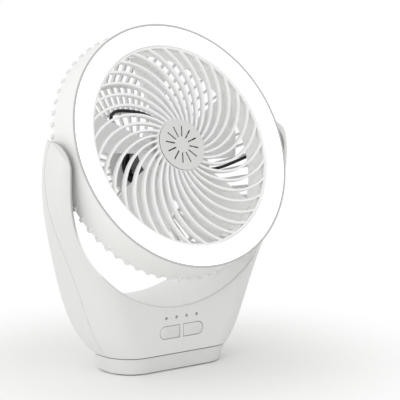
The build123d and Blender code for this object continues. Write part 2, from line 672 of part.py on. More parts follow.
# Head drum and light ring
with BuildPart() as drum_housing:
    with BuildSketch(radial_plane(0)) as drum_wall:
        with BuildLine():
            Polyline((HEAD_RADIUS - HEAD_WALL, HEAD_FRONT), (HEAD_RADIUS, HEAD_FRONT),
                     (REAR_RADIUS, DRUM_REAR), (REAR_RADIUS - HEAD_WALL, DRUM_REAR), close=True)
        make_face()
    revolve(drum_wall.sketch, axis=HEAD_AXIS)
    head_tube(HEAD_RADIUS - HEAD_WALL / 2, DUCT_RADIUS, WEB_LOW, WEB_HIGH)
    head_tube(DUCT_RADIUS + DUCT_WALL, DUCT_RADIUS, DRUM_REAR, HEAD_FRONT)
    head_tube(DUCT_RADIUS + DUCT_WALL / 2, LEDGE_INNER, LEDGE_HIGH - LEDGE_THICK, LEDGE_HIGH)
    with BuildSketch(HEAD.offset(DRUM_REAR)) as cover_posts:
        with PolarLocations(COVER_SCREW_R, COVER_SCREWS, COVER_SCREW_TURN):
            Circle(COVER_BOSS)
            Circle(SCREW_PILOT, mode=Mode.SUBTRACT)
    extrude(cover_posts.sketch, amount=WEB_LOW - DRUM_REAR)
    for name, side in SIDES:
        tube(pivot_plane(side, BOSS_INNER), BOSS_RADIUS, 0, BOSS_FACE - BOSS_INNER)
        tube(pivot_plane(side, BOSS_INNER), AXLE_RADIUS + RUN_FIT, 0, BOSS_FACE - BOSS_INNER, Mode.SUBTRACT)
finish(drum_housing, "drum_housing")

LENS_IN = DUCT_RADIUS + DUCT_WALL + FIT
LENS_OUT = HEAD_RADIUS - HEAD_WALL - FIT
with BuildPart() as light_diffuser:
    head_tube(LENS_OUT, LENS_IN, HEAD_FRONT - LENS_SKIN, HEAD_FRONT)
    head_tube(LENS_IN + LENS_LEG, LENS_IN, WEB_HIGH, HEAD_FRONT - LENS_SKIN)
    head_tube(LENS_OUT, LENS_OUT - LENS_LEG, WEB_HIGH, HEAD_FRONT - LENS_SKIN)
finish(light_diffuser, "light_diffuser")

with BuildPart() as led_board:
    head_tube(LED_RADIUS + LED_BOARD_HALF, LED_RADIUS - LED_BOARD_HALF, WEB_HIGH, WEB_HIGH + LED_BOARD_THICK)
finish(led_board, "led_board")

with BuildPart() as led_chips:
    with BuildSketch(HEAD.offset(WEB_HIGH + LED_BOARD_THICK)) as chips:
        with PolarLocations(LED_RADIUS, LED_COUNT):
            Rectangle(LED_LONG, LED_WIDE)
    extrude(chips.sketch, amount=LED_TALL)
finish(led_chips, "led_chips")

# Front grille: vanes run as spirals from the hub to the ring
VANE_SPAN = GRILLE_RING - GRILLE_HUB
VANE_RADII = (GRILLE_HUB - VANE_ROOT, GRILLE_HUB + VANE_SPAN / 2, GRILLE_RING - GRILLE_RING_WALL / 2)
with BuildPart() as front_grille:
    with BuildSketch(HEAD.offset(LEDGE_HIGH)) as grille_face:
        Circle(GRILLE_RING)
        Circle(GRILLE_RING - GRILLE_RING_WALL, mode=Mode.SUBTRACT)
        Circle(GRILLE_HUB)
        for place in range(VANE_COUNT):
            start = place * 360 / VANE_COUNT
            with BuildLine() as vane:
                ThreePointArc(*[polar(radius, start + VANE_SWEEP * (radius - GRILLE_HUB) / VANE_SPAN)
                                for radius in VANE_RADII])
            trace(vane.line, line_width=VANE_THICK)
        Circle(GRILLE_HUB_HOLE, mode=Mode.SUBTRACT)
    extrude(grille_face.sketch, amount=VANE_DEPTH)
finish(front_grille, "front_grille")

with BuildPart() as grille_cap:
    head_tube(CAP_RADIUS, 0, GRILLE_FACE, GRILLE_FACE + CAP_THICK)
    with BuildSketch(HEAD.offset(GRILLE_FACE)) as cap_slots:
        with PolarLocations((CAP_SLOT_IN + CAP_SLOT_OUT) / 2, CAP_SLOTS, 180 / CAP_SLOTS):
            Rectangle(CAP_SLOT_OUT - CAP_SLOT_IN, CAP_SLOT_WIDE)
    extrude(cap_slots.sketch, amount=CAP_THICK, mode=Mode.SUBTRACT)
    head_tube(GRILLE_HUB_HOLE - FIT, GRILLE_HUB_HOLE - FIT - CAP_SKIRT,
              GRILLE_FACE - CAP_SKIRT_TALL, GRILLE_FACE)
finish(grille_cap, "grille_cap")


def cage_bar(degrees, start):
    """One bar of the rear cage: a tooth at the drum, then a slope to the flat back and in to a radius."""
    inner = CAGE_RADIUS - 3 * CAGE_BAR / 2
    with BuildSketch(radial_plane(degrees)) as outline:
        with BuildLine():
            Polyline((inner, DRUM_REAR), (CAGE_RADIUS, DRUM_REAR), (CAGE_RADIUS, CAGE_ROOT),
                     (CAGE_SHOULDER, CAGE_BACK), (start, CAGE_BACK), (start, CAGE_FACE),
                     (CAGE_SHOULDER - CAGE_BAR / 2, CAGE_FACE), (inner, CAGE_ROOT), close=True)
        make_face()
    return extrude(outline.sketch, amount=CAGE_BAR_THICK / 2, both=True, mode=Mode.PRIVATE)


# Rear cage: every second bar runs on to the hub
BAR_PITCH = 360 / CAGE_BARS
with BuildPart() as rear_grille:
    head_tube(REAR_RADIUS, CAGE_FLANGE_IN, DRUM_REAR - CAGE_FLANGE_THICK, DRUM_REAR)
    head_tube(CAGE_HUB, 0, CAGE_BACK, CAGE_FACE)
    for radius in (CAGE_RING, CAGE_SHOULDER):
        head_tube(radius + CAGE_RING_WIDE / 2, radius - CAGE_RING_WIDE / 2, CAGE_BACK, CAGE_FACE)
    add([cage_bar((place + 1 / 2) * BAR_PITCH, CAGE_RING if place % 2 else CAGE_HUB - CAGE_RING_WIDE / 2)
         for place in range(CAGE_BARS)])
    with BuildSketch(HEAD.offset(DRUM_REAR)) as cover_holes:
        with PolarLocations(COVER_SCREW_R, COVER_SCREWS, COVER_SCREW_TURN):
            Circle(SCREW_PILOT)
        with Locations(polar(LEAD_RISE, LEAD_HOLE_TURN)):
            Circle(LEAD_HOLE)
    extrude(cover_holes.sketch, amount=-CAGE_FLANGE_THICK, mode=Mode.SUBTRACT)
    with BuildSketch(HEAD.offset(CAGE_FACE)) as mount_holes:
        with PolarLocations(MOUNT_SCREW_R, MOUNT_SCREWS, MOUNT_SCREW_TURN):
            Circle(SCREW_PILOT)
    extrude(mount_holes.sketch, amount=-CAGE_BAR, mode=Mode.SUBTRACT)
finish(rear_grille, "rear_grille")

with BuildPart() as cover_screws:
    for place in range(COVER_SCREWS):
        spot = polar(COVER_SCREW_R, COVER_SCREW_TURN + place * 360 / COVER_SCREWS)
        level = DRUM_REAR - CAGE_FLANGE_THICK
        screw(Plane(origin=HEAD.from_local_coords((*spot, level)), x_dir=HEAD.x_dir, z_dir=HEAD.z_dir),
              SCREW_HEAD, COVER_SCREW_LENGTH)
finish(cover_screws, "cover_screws")

# Impeller: hub and pitched blades
with BuildPart() as fan_blades:
    for place in range(BLADE_COUNT):
        turn = BLADE_TURN + place * 360 / BLADE_COUNT
        sections = []
        for radius, level, pitch, chord, thick in zip(
                BLADE_RADII, BLADE_LEVELS, BLADE_PITCHES, BLADE_CHORDS, BLADE_THICKS):
            across = outward_plane(turn, radius, level)
            along = across.x_dir * cos(radians(pitch)) + HEAD.z_dir * sin(radians(pitch))
            with BuildSketch(Plane(origin=across.origin, x_dir=along, z_dir=across.z_dir)) as blade:
                Rectangle(chord, thick)
            sections.append(blade.sketch)
        loft(sections)
    head_tube(BLADE_TIP, 0, CAGE_BACK, HEAD_FRONT, Mode.INTERSECT)
    head_tube(HUB_RADIUS, HUB_INNER, HUB_REAR, HUB_FRONT)
    head_tube(HUB_INNER, 0, HUB_REAR, HUB_FRONT, Mode.SUBTRACT)
    head_tube(HUB_RADIUS, 0, HUB_REAR, HUB_REAR + HUB_FLOOR)
    head_tube(HUB_BOSS, 0, HUB_REAR, HUB_REAR + HUB_BOSS_TALL)
    head_tube(SHAFT_RADIUS + RUN_FIT, 0, HUB_REAR, HUB_FRONT, Mode.SUBTRACT)
finish(fan_blades, "fan_blades")

with BuildPart() as blade_nut:
    with BuildSketch(HEAD.offset(HUB_REAR + HUB_BOSS_TALL)) as nut_face:
        RegularPolygon(NUT_RADIUS, 6)
        Circle(SHAFT_RADIUS + RUN_FIT, mode=Mode.SUBTRACT)
    extrude(nut_face.sketch, amount=NUT_TALL)
finish(blade_nut, "blade_nut")

# Motor
with BuildPart() as motor_shaft:
    head_tube(SHAFT_RADIUS, 0, SHAFT_REAR, SHAFT_FRONT)
finish(motor_shaft, "motor_shaft")

with BuildPart() as rotor_can:
    head_tube(CAN_RADIUS, CAN_RADIUS - CAN_WALL, CAN_REAR, HUB_REAR)
    head_tube(CAN_RADIUS, SHAFT_RADIUS + RUN_FIT, HUB_REAR - CAN_WALL, HUB_REAR)
finish(rotor_can, "rotor_can")

MAGNET_OUT = CAN_RADIUS - CAN_WALL - SEAT
with BuildPart() as rotor_magnet:
    head_tube(MAGNET_OUT, MAGNET_OUT - MAGNET_THICK, MAGNET_REAR, MAGNET_FRONT)
finish(rotor_magnet, "rotor_magnet")

with BuildPart() as motor_mount:
    head_tube(MOUNT_FLANGE, MOUNT_BORE, CAGE_FACE, MOUNT_FACE)
    head_tube(MOUNT_TUBE, MOUNT_BORE, MOUNT_FACE, MOUNT_FRONT)
    head_tube(MOUNT_COLLAR, MOUNT_BORE, MOUNT_FACE, MOTOR_BOARD_REAR)
    with BuildSketch(HEAD.offset(CAGE_FACE)) as flange_holes:
        with PolarLocations(MOUNT_SCREW_R, MOUNT_SCREWS, MOUNT_SCREW_TURN):
            Circle(SCREW_PILOT)
    extrude(flange_holes.sketch, amount=MOUNT_FLANGE_THICK, mode=Mode.SUBTRACT)
finish(motor_mount, "motor_mount")

with BuildPart() as mount_screws:
    for place in range(MOUNT_SCREWS):
        spot = polar(MOUNT_SCREW_R, MOUNT_SCREW_TURN + place * 360 / MOUNT_SCREWS)
        screw(Plane(origin=HEAD.from_local_coords((*spot, MOUNT_FACE)), x_dir=HEAD.x_dir, z_dir=-HEAD.z_dir),
              MOUNT_SCREW_HEAD, MOUNT_SCREW_LENGTH)
finish(mount_screws, "mount_screws")

with BuildPart() as motor_board:
    head_tube(MOTOR_BOARD_OUT, MOUNT_TUBE + SEAT, MOTOR_BOARD_REAR, MOTOR_BOARD_REAR + MOTOR_BOARD_THICK)
finish(motor_board, "motor_board")

with BuildPart() as motor_bushes:
    for level in BUSH_LEVELS:
        head_tube(MOUNT_BORE - RUN_FIT, SHAFT_RADIUS + RUN_FIT, level, level + BUSH_LONG)
finish(motor_bushes, "motor_bushes")

with BuildPart() as stator_core:
    with BuildSketch(HEAD.offset(STATOR_REAR)) as lamination:
        Circle(STATOR_CORE)
        with PolarLocations((STATOR_CORE + TOOTH_TIP) / 2, TOOTH_COUNT):
            Rectangle(TOOTH_TIP - STATOR_CORE + TOOTH_WIDE, TOOTH_WIDE)
        with PolarLocations(TOOTH_TIP - SHOE_THICK / 2, TOOTH_COUNT):
            Rectangle(SHOE_THICK, SHOE_WIDE)
        Circle(MOUNT_TUBE + SEAT, mode=Mode.SUBTRACT)
    extrude(lamination.sketch, amount=STATOR_FRONT - STATOR_REAR)
finish(stator_core, "stator_core")

with BuildPart() as one_coil:
    stack = STATOR_FRONT - STATOR_REAR
    coil_plane = outward_plane(0, COIL_IN, (STATOR_REAR + STATOR_FRONT) / 2)
    block(coil_plane, COIL_WIDE, stack + 2 * COIL_END, COIL_OUT - COIL_IN)
    block(coil_plane, TOOTH_WIDE + 2 * SEAT, stack + 2 * SEAT, COIL_OUT - COIL_IN, Mode.SUBTRACT)

with BuildPart() as stator_coils:
    for place in range(TOOTH_COUNT):
        add(one_coil.part.rotate(HEAD_AXIS, place * 360 / TOOTH_COUNT))
finish(stator_coils, "stator_coils")

# Leads
SLOPE_IN = CAGE_SHOULDER - CAGE_BAR - 2 * LEAD_RADIUS
SLOPE_OUT = CAGE_RADIUS - 2 * CAGE_BAR - 2 * LEAD_RADIUS
LEAD_POINTS = [
    (*polar(LEAD_START, LEAD_START_TURN), LEAD_LEVEL),
    (*polar((LEAD_START + CAGE_RING) / 2, LEAD_START_TURN), LEAD_LEVEL),
    *[(*polar(CAGE_RING, turn), LEAD_LEVEL) for turn in LEAD_TURNS],
    (*polar(SLOPE_IN, LEAD_SIDE_TURN), LEAD_LEVEL + LEAD_RADIUS),
    (*polar((SLOPE_IN + SLOPE_OUT) / 2, LEAD_SIDE_TURN), (LEAD_LEVEL + CAGE_ROOT) / 2),
    (*polar(LEAD_RISE, LEAD_HOLE_TURN), DRUM_REAR - 2 * CAGE_FLANGE_THICK),
    (*polar(LEAD_RISE, LEAD_HOLE_TURN), DRUM_REAR),
    (BOSS_INNER - AXLE_FLANGE_THICK - LEAD_RADIUS - FIT, -AXLE_BORE, -AXLE_BORE),
]
with BuildPart() as motor_lead:
    with BuildLine() as lead_path:
        Spline(*[HEAD.from_local_coords(point) for point in LEAD_POINTS])
    with BuildSketch(Plane(origin=lead_path.line @ 0, z_dir=lead_path.line % 0)) as lead_end:
        Circle(LEAD_RADIUS)
    sweep(lead_end.sketch, path=lead_path.line)
finish(motor_lead, "motor_lead")

ARM_LEAD_ARC = SADDLE_RADIUS + ARM_LEAD_OUT
ARM_LEAD_POINTS = [
    (AXLE_END + ARM_LEAD_RADIUS + FIT, PIVOT_Y, PIVOT_Z - ARM_LEAD_RADIUS),
    *[(ARM_LEAD_ARC * cos(radians(turn)), PIVOT_Y, SADDLE_Z - ARM_LEAD_ARC * sin(radians(turn)))
      for turn in ARM_LEAD_TURNS],
    *ARM_LEAD_END,
]
with BuildPart() as arm_lead:
    with BuildLine() as arm_path:
        Spline(*ARM_LEAD_POINTS)
    with BuildSketch(Plane(origin=arm_path.line @ 0, z_dir=arm_path.line % 0)) as arm_end:
        Circle(ARM_LEAD_RADIUS)
    sweep(arm_end.sketch, path=arm_path.line)
finish(arm_lead, "arm_lead")
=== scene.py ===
"""Looks of a rechargeable desk fan: finishes, softened edges, button icons, light and camera."""

from __future__ import annotations

import json
import logging
import math
from dataclasses import dataclass, field
from enum import Enum
from typing import Any

import bpy
from mathutils import Matrix, Vector


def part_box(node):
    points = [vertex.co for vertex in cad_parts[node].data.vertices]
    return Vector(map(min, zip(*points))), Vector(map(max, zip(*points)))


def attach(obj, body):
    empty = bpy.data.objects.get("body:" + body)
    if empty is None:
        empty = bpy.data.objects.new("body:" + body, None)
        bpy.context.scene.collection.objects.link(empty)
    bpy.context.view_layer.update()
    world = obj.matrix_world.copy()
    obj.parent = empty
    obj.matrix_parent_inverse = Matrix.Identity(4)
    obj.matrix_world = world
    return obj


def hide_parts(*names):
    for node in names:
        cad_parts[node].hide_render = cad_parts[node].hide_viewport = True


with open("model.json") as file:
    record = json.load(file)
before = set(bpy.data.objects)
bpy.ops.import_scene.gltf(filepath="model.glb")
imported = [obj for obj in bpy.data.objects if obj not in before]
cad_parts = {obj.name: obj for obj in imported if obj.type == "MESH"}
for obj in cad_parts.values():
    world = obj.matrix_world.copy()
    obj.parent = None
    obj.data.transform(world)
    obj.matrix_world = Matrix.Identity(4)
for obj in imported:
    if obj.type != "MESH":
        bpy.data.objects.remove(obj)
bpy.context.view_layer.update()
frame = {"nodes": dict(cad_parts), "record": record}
LOG = logging.getLogger("desk_fan")

Colour = tuple[float, float, float]


class Sock:
    """A node's output, with arithmetic that adds Math nodes."""

    def __init__(self, graph: "Graph", socket: bpy.types.NodeSocket) -> None:
        """Keep the output and the graph it belongs to."""
        self.graph = graph
        self.socket = socket

    def _math(self, operation: str, *values: Any) -> "Sock":
        """Add one Math node.

        Args:
            operation: The Math node's operation.
            values: Numbers or sockets, in the node's order.

        Returns:
            The node's result.
        """
        return self.graph.node("ShaderNodeMath", {"operation": operation}, dict(enumerate(values)))

    def __add__(self, other: Any) -> "Sock":
        """Sum."""
        return self._math("ADD", self, other)

    def __radd__(self, other: Any) -> "Sock":
        """Sum with a number on the left."""
        return self._math("ADD", other, self)

    def __sub__(self, other: Any) -> "Sock":
        """Difference."""
        return self._math("SUBTRACT", self, other)

    def __rsub__(self, other: Any) -> "Sock":
        """Difference from a number on the left."""
        return self._math("SUBTRACT", other, self)

    def __mul__(self, other: Any) -> "Sock":
        """Product."""
        return self._math("MULTIPLY", self, other)

    def __rmul__(self, other: Any) -> "Sock":
        """Product with a number on the left."""
        return self._math("MULTIPLY", other, self)

    def least(self, limit: float) -> "Sock":
        """The smaller of this and a limit."""
        return self._math("MINIMUM", self, limit)

    def root(self) -> "Sock":
        """Square root."""
        return self._math("SQRT", self)

    def between(self, low: float, high: float) -> "Sock":
        """Ease from 0 at low to 1 at high.

        Args:
            low: Value that gives 0.
            high: Value that gives 1.

        Returns:
            The eased value.
        """
        return self.graph.node(
            "ShaderNodeMapRange",
            {"interpolation_type": "SMOOTHSTEP"},
            {"Value": self, "From Min": low, "From Max": high},
        )


class Graph:
    """One material's node tree."""

    def __init__(self, tree: bpy.types.NodeTree) -> None:
        """Start from an empty tree.

        Args:
            tree: The tree that the nodes go into.
        """
        self.tree = tree
        self.tree.nodes.clear()

    def node(self, kind: str, settings: dict[str, Any], inputs: dict[Any, Any], output: Any = 0) -> Sock:
        """Add a node.

        Args:
            kind: The node's type.
            settings: Properties that are set before anything is linked.
            inputs: Values or sockets by input name or number.
            output: Name or number of the output that is wanted.

        Returns:
            That output.
        """
        made = self.tree.nodes.new(kind)
        for name, value in settings.items():
            if name == "stops":
                self._ramp(made, value)
            else:
                setattr(made, name, value)
        for name, value in inputs.items():
            if isinstance(value, Sock):
                self.tree.links.new(value.socket, made.inputs[name])
            else:
                made.inputs[name].default_value = value
        return Sock(self, made.outputs[output]) if len(made.outputs) else Sock(self, None)

    @staticmethod
    def _ramp(made: bpy.types.Node, stops: list[tuple[float, Colour]]) -> None:
        """Set a colour ramp's stops.

        Args:
            made: The ramp node.
            stops: Positions with their colours.
        """
        elements = made.color_ramp.elements
        while len(elements) < len(stops):
            elements.new(1.0)
        for element, (position, colour) in zip(elements, stops):
            element.position = position
            element.color = (*colour, 1.0)

    def position(self) -> Sock:
        """The object coordinates, in metres."""
        return self.node("ShaderNodeTexCoord", {}, {}, "Object")

    def coordinates(self) -> tuple[Sock, Sock, Sock]:
        """The object coordinates one by one, in metres."""
        place = self.position()
        return tuple(self.node("ShaderNodeSeparateXYZ", {}, {0: place}, name) for name in "XYZ")

    def noise(self, scale: float, detail: float = 2.0) -> Sock:
        """Soft noise.

        Args:
            scale: Cells per metre.
            detail: Octaves.

        Returns:
            A value around one half.
        """
        return self.node(
            "ShaderNodeTexNoise", {}, {"Vector": self.position(), "Scale": scale, "Detail": detail}
        )

    def tint(self, factor: Sock, first: Colour, second: Colour) -> Sock:
        """Blend two colours.

        Args:
            factor: 0 gives the first, 1 the second.
            first: First colour.
            second: Second colour.

        Returns:
            The blended colour.
        """
        return self.ramp(factor, [(0.0, first), (1.0, second)])

    def ramp(self, factor: Sock, stops: list[tuple[float, Colour]]) -> Sock:
        """Run through several colours.

        Args:
            factor: Place on the run, from 0 to 1.
            stops: Places with their colours, in order.

        Returns:
            The colour there.
        """
        return self.node("ShaderNodeValToRGB", {"stops": stops}, {"Fac": factor})

    def bump(self, height: Sock, distance: float) -> Sock:
        """A surface's relief.

        Args:
            height: Relief between 0 and 1.
            distance: Height in metres that 1 stands for.

        Returns:
            The bent normal.
        """
        return self.node("ShaderNodeBump", {}, {"Height": height, "Distance": distance, "Strength": 1.0})

    def seen(self) -> Sock:
        """Tell what is seen from what only gives light.

        Returns:
            1 for the eye, a reflection or a view through glass, 0 for other light.
        """
        eye, gloss, glass = (
            self.node("ShaderNodeLightPath", {}, {}, f"Is {kind} Ray")
            for kind in ("Camera", "Glossy", "Transmission")
        )
        return (eye + gloss + glass).least(1.0)

    def surface(self, inputs: dict[str, Any]) -> None:
        """Close the graph with a principled surface.

        Args:
            inputs: The surface's values and links.
        """
        shader = self.node("ShaderNodeBsdfPrincipled", {}, inputs)
        self.node("ShaderNodeOutputMaterial", {}, {"Surface": shader})


def new_material(name: str) -> tuple[bpy.types.Material, Graph]:
    """Make an empty node material.

    Args:
        name: The material's name.

    Returns:
        The material and its graph.
    """
    material = bpy.data.materials.new(name)
    material.use_nodes = True
    return material, Graph(material.node_tree)


def shade(colour: Colour, factor: float) -> Colour:
    """A colour made lighter or darker by a factor."""
    return tuple(min(1.0, channel * factor) for channel in colour)


@dataclass(frozen=True)
class MouldedPlastic:
    """Moulded plastic with a fine eroded grain and a faint drift of tone."""

    name: str
    colour: Colour
    roughness: float = 0.42
    grain: float = 0.00002
    cells: float = 1600.0
    drift: float = 0.02
    coat: float = 0.0
    coat_roughness: float = 0.15
    cloud_cells: float = 14.0
    cloud_dull: float = 0.08
    grain_detail: float = 3.0
    grain_dull: float = 0.06

    def material(self) -> bpy.types.Material:
        """Build the material.

        Returns:
            The finished material.
        """
        material, graph = new_material(self.name)
        cloud = graph.noise(self.cloud_cells)
        grain = graph.noise(self.cells, self.grain_detail)
        smooth = self.roughness - (self.cloud_dull + self.grain_dull) / 2.0
        graph.surface(
            {
                "Base Color": self.colour_of(graph, cloud),
                "Roughness": cloud * self.cloud_dull + grain * self.grain_dull + smooth,
                "Normal": graph.bump(grain, self.grain),
                "Coat Weight": self.coat,
                "Coat Roughness": self.coat_roughness,
                **self.painted_glow_of(graph),
            }
        )
        return material

    def painted_glow_of(self, graph: Graph) -> dict[str, Any]:
        """Inputs for a painted glow on the plastic: none on a plain piece."""
        return {}

    def colour_of(self, graph: Graph, cloud: Sock) -> Sock:
        """The tone, drifting a little from place to place."""
        return graph.tint(cloud, shade(self.colour, 1.0 - self.drift), shade(self.colour, 1.0 + self.drift))

    def stops_of(self, *tones: float) -> list[tuple[float, Colour]]:
        """Even stops of a ramp, one for each tone of the plastic's colour."""
        return [(place / (len(tones) - 1), shade(self.colour, tone)) for place, tone in enumerate(tones)]


@dataclass(frozen=True)
class SaddlePlastic(MouldedPlastic):
    """Shell plastic with painted light in the saddle that the head hangs in, painted shade where the arms
    close on it and a painted shade line on the saddle's front rim.
    """

    radius: float = 0.105
    height: float = 0.157
    saddle_painted_light_tone: float = 1.27
    saddle_skin: tuple[float, float] = (0.0001, 0.0009)
    front: float = -0.029
    edge: tuple[float, float] = (0.0011, 0.0015)
    edge_skin: tuple[float, float] = (0.0009, 0.0013)
    rim_painted_shade_share: float = 0.28
    gap_painted_shade_tone: float = 0.5
    gap_skin: tuple[float, float] = (0.0006, 0.0018)
    gap_rise: tuple[float, float] = (0.100, 0.135)

    def colour_of(self, graph: Graph, cloud: Sock) -> Sock:
        """The tone by depth below the saddle's wall and by height, a little cloudy: painted light on the
        saddle, painted shade on the arms' inner faces and on the saddle's front rim.

        Args:
            graph: The material's graph.
            cloud: Soft noise over the piece.

        Returns:
            The base colour.
        """
        across, along, up = graph.coordinates()
        below = (up - self.height).least(0.0)
        depth = (across * across + below * below).root() - self.radius
        arm = up.between(*self.gap_rise)
        inside = (along - self.front).between(*self.edge)
        # Painted light: lightens the saddle's surface under the drum, where shade falls.
        light = (1.0 - depth.between(*self.saddle_skin)) * (1.0 - arm) * inside
        # Painted shade: a darker line along the saddle's front rim.
        rim = (1.0 - depth.between(*self.edge_skin)) * (1.0 - inside) * (1.0 - arm) * self.rim_painted_shade_share
        # Painted shade: a contact shadow on the arms' inner faces next to the drum, plus the rim's line.
        saddle_painted_shade = (1.0 - depth.between(*self.gap_skin)) * arm + rim
        stops = self.stops_of(self.gap_painted_shade_tone, 1.0, self.saddle_painted_light_tone)
        return graph.ramp((light - saddle_painted_shade + 1.0) * 0.5 + (cloud - 0.5) * self.drift, stops)


@dataclass(frozen=True)
class FacedPlastic(MouldedPlastic):
    """Plastic with a clean front face and painted shade on whatever lies behind it, such as grooves and slot
    walls.
    """

    axis: tuple[float, float, float] = (0.0, -1.0, 0.0)
    face: float = 0.029
    depths: tuple[float, float] = (0.0, 0.0003)
    recess_painted_shade_tone: float = 0.5

    def colour_of(self, graph: Graph, cloud: Sock) -> Sock:
        """The tone by depth behind the face, a little cloudy: painted shade below the face.

        Args:
            graph: The material's graph.
            cloud: Soft noise over the piece.

        Returns:
            The base colour.
        """
        shares = [part * share for part, share in zip(graph.coordinates(), self.axis)]
        behind = self.face - (shares[0] + shares[1] + shares[2])
        # Painted shade: surfaces deeper than the face get the darker tone.
        factor = behind.between(*self.depths) * (1.0 - self.drift) + cloud * self.drift
        return graph.tint(factor, self.colour, shade(self.colour, self.recess_painted_shade_tone))


@dataclass(frozen=True)
class DrumPlastic(MouldedPlastic):
    """Drum plastic with painted light on the duct inside, a painted glow there, and a painted shade line
    along the front lip.
    """

    axis: tuple[float, float, float] = (0.0, 0.0, 1.0)
    origin: tuple[float, float, float] = (0.0, 0.0, 0.0)
    lip: tuple[float, float] = (0.0200, 0.0205)
    lip_painted_shade_tone: float = 0.62
    duct: tuple[float, float] = (0.088, 0.090)
    duct_painted_light_tone: float = 1.15
    # Strength of the painted glow on the duct's inside.
    glow: float = 0.13

    def colour_of(self, graph: Graph, cloud: Sock) -> Sock:
        """The tone by place in the drum, a little cloudy: painted light in the duct, a painted shade line at
        the lip.

        Args:
            graph: The material's graph.
            cloud: Soft noise over the piece.

        Returns:
            The base colour.
        """
        along, radius = self._place(graph)
        # Painted light in the duct and a painted shade line on the lip.
        outside = radius.between(*self.duct)
        at_lip = along.between(*self.lip) * outside
        stops = self.stops_of(self.lip_painted_shade_tone, 1.0, self.duct_painted_light_tone)
        return graph.ramp(1.0 - (outside + at_lip) * 0.5 + (cloud - 0.5) * self.drift, stops)

    def painted_glow_of(self, graph: Graph) -> dict[str, Any]:
        """Painted glow: a faint even emission over the duct's inside that lightens its shade.

        Args:
            graph: The material's graph.

        Returns:
            The emission's inputs.
        """
        _, radius = self._place(graph)
        lit = (self.glow, self.glow, self.glow)
        return {
            "Emission Color": graph.tint(radius.between(*self.duct), lit, (0.0, 0.0, 0.0)),
            "Emission Strength": 1.0,
        }

    def _place(self, graph: Graph) -> tuple[Sock, Sock]:
        """Where a point lies in the drum.

        Args:
            graph: The material's graph.

        Returns:
            The distance along the axis and the distance from it, in metres.
        """
        away = [part - start for part, start in zip(graph.coordinates(), self.origin)]
        shares = [part * share for part, share in zip(away, self.axis)]
        along = shares[0] + shares[1] + shares[2]
        square = away[0] * away[0] + away[1] * away[1] + away[2] * away[2] - along * along
        return along, square.root()


@dataclass(frozen=True)
class LitDiffuser:
    """Opal plastic lit from behind by a row of chips."""

    name: str
    colour: Colour
    glow: float
    cells: float = 30.0
    roughness: float = 0.35
    dull: float = 0.06
    cool: Colour = (0.985, 0.99, 1.0)
    clear: Colour = (1.0, 1.0, 1.0)

    def material(self) -> bpy.types.Material:
        """Build the material.

        Returns:
            The finished material.
        """
        material, graph = new_material(self.name)
        cloud = graph.noise(self.cells)
        graph.surface(
            {
                "Base Color": (*self.colour, 1.0),
                "Roughness": cloud * self.dull + self.roughness,
                "Emission Color": graph.tint(cloud, self.cool, self.clear),
                "Emission Strength": self.glow,
            }
        )
        return material


@dataclass(frozen=True)
class BareMetal:
    """Turned, plated or drawn metal with fine tool marks."""

    name: str
    colour: Colour
    roughness: float = 0.28
    marks: float = 700.0
    relief: float = 0.000015
    detail: float = 4.0
    cloud_cells: float = 60.0
    tones: tuple[float, float] = (0.92, 1.06)
    dull: float = 0.16

    def material(self) -> bpy.types.Material:
        """Build the material.

        Returns:
            The finished material.
        """
        material, graph = new_material(self.name)
        marks = graph.noise(self.marks, self.detail)
        cloud = graph.noise(self.cloud_cells)
        graph.surface(
            {
                "Base Color": graph.tint(cloud, *(shade(self.colour, tone) for tone in self.tones)),
                "Metallic": 1.0,
                "Roughness": marks * self.dull + (self.roughness - self.dull / 2.0),
                "Normal": graph.bump(marks, self.relief),
            }
        )
        return material


@dataclass(frozen=True)
class WoundWire:
    """Enamelled copper wire in close turns around a tooth, with painted shade in the grooves between turns.
    """

    name: str
    colour: Colour
    bands: float = 1400.0 / 6.0
    waver: float = 0.6
    groove_painted_shade_tone: float = 0.45
    roughness: float = 0.42
    shine: float = 0.12
    relief: float = 0.00015

    def material(self) -> bpy.types.Material:
        """Build the material.

        Returns:
            The finished material.
        """
        material, graph = new_material(self.name)
        wave = graph.node(
            "ShaderNodeTexWave",
            {"wave_type": "BANDS", "bands_direction": "Z"},
            {"Vector": graph.position(), "Scale": self.bands, "Distortion": self.waver},
        )
        graph.surface(
            {
                # Painted shade: darker colour in the grooves between turns.
                "Base Color": graph.tint(wave, shade(self.colour, self.groove_painted_shade_tone), self.colour),
                "Metallic": 1.0,
                "Roughness": self.roughness - wave * self.shine,
                "Normal": graph.bump(wave, self.relief),
            }
        )
        return material


@dataclass(frozen=True)
class SolderMask:
    """A circuit board with faint tracks under its mask."""

    name: str
    colour: Colour
    tracks: float = 220.0
    track_wide: float = 0.06
    patch_tone: float = 0.85
    track_tone: float = 1.5
    cells: float = 90.0
    roughness: float = 0.3
    dull: float = 0.1

    def material(self) -> bpy.types.Material:
        """Build the material.

        Returns:
            The finished material.
        """
        material, graph = new_material(self.name)
        tracks = graph.node(
            "ShaderNodeTexBrick",
            {"offset": 0.5},
            {
                "Vector": graph.position(),
                "Scale": self.tracks,
                "Mortar Size": self.track_wide,
                "Color1": (*self.colour, 1.0),
                "Color2": (*shade(self.colour, self.patch_tone), 1.0),
                "Mortar": (*shade(self.colour, self.track_tone), 1.0),
            },
        )
        cloud = graph.noise(self.cells)
        graph.surface({"Base Color": tracks, "Roughness": cloud * self.dull + self.roughness})
        return material


# Places in the frame of the solids, in metres
PART_LINE = 0.0147
HEAD_AXIS = (0.0, -0.909961, 0.414693)
HEAD_ORIGIN = (0.0, -0.011, 0.172)
HEAD_FRONT = 0.021
HEAD_FACE = Vector(HEAD_AXIS).dot(Vector(HEAD_ORIGIN)) + HEAD_FRONT

# Mesh work: distances in metres, angles in degrees
MERGE = 0.000002
FLAT_ANGLE = 0.4
EDGE_ANGLE = 40.0
SMOOTH_ANGLE = 32.0
ROUND_STEPS = 2


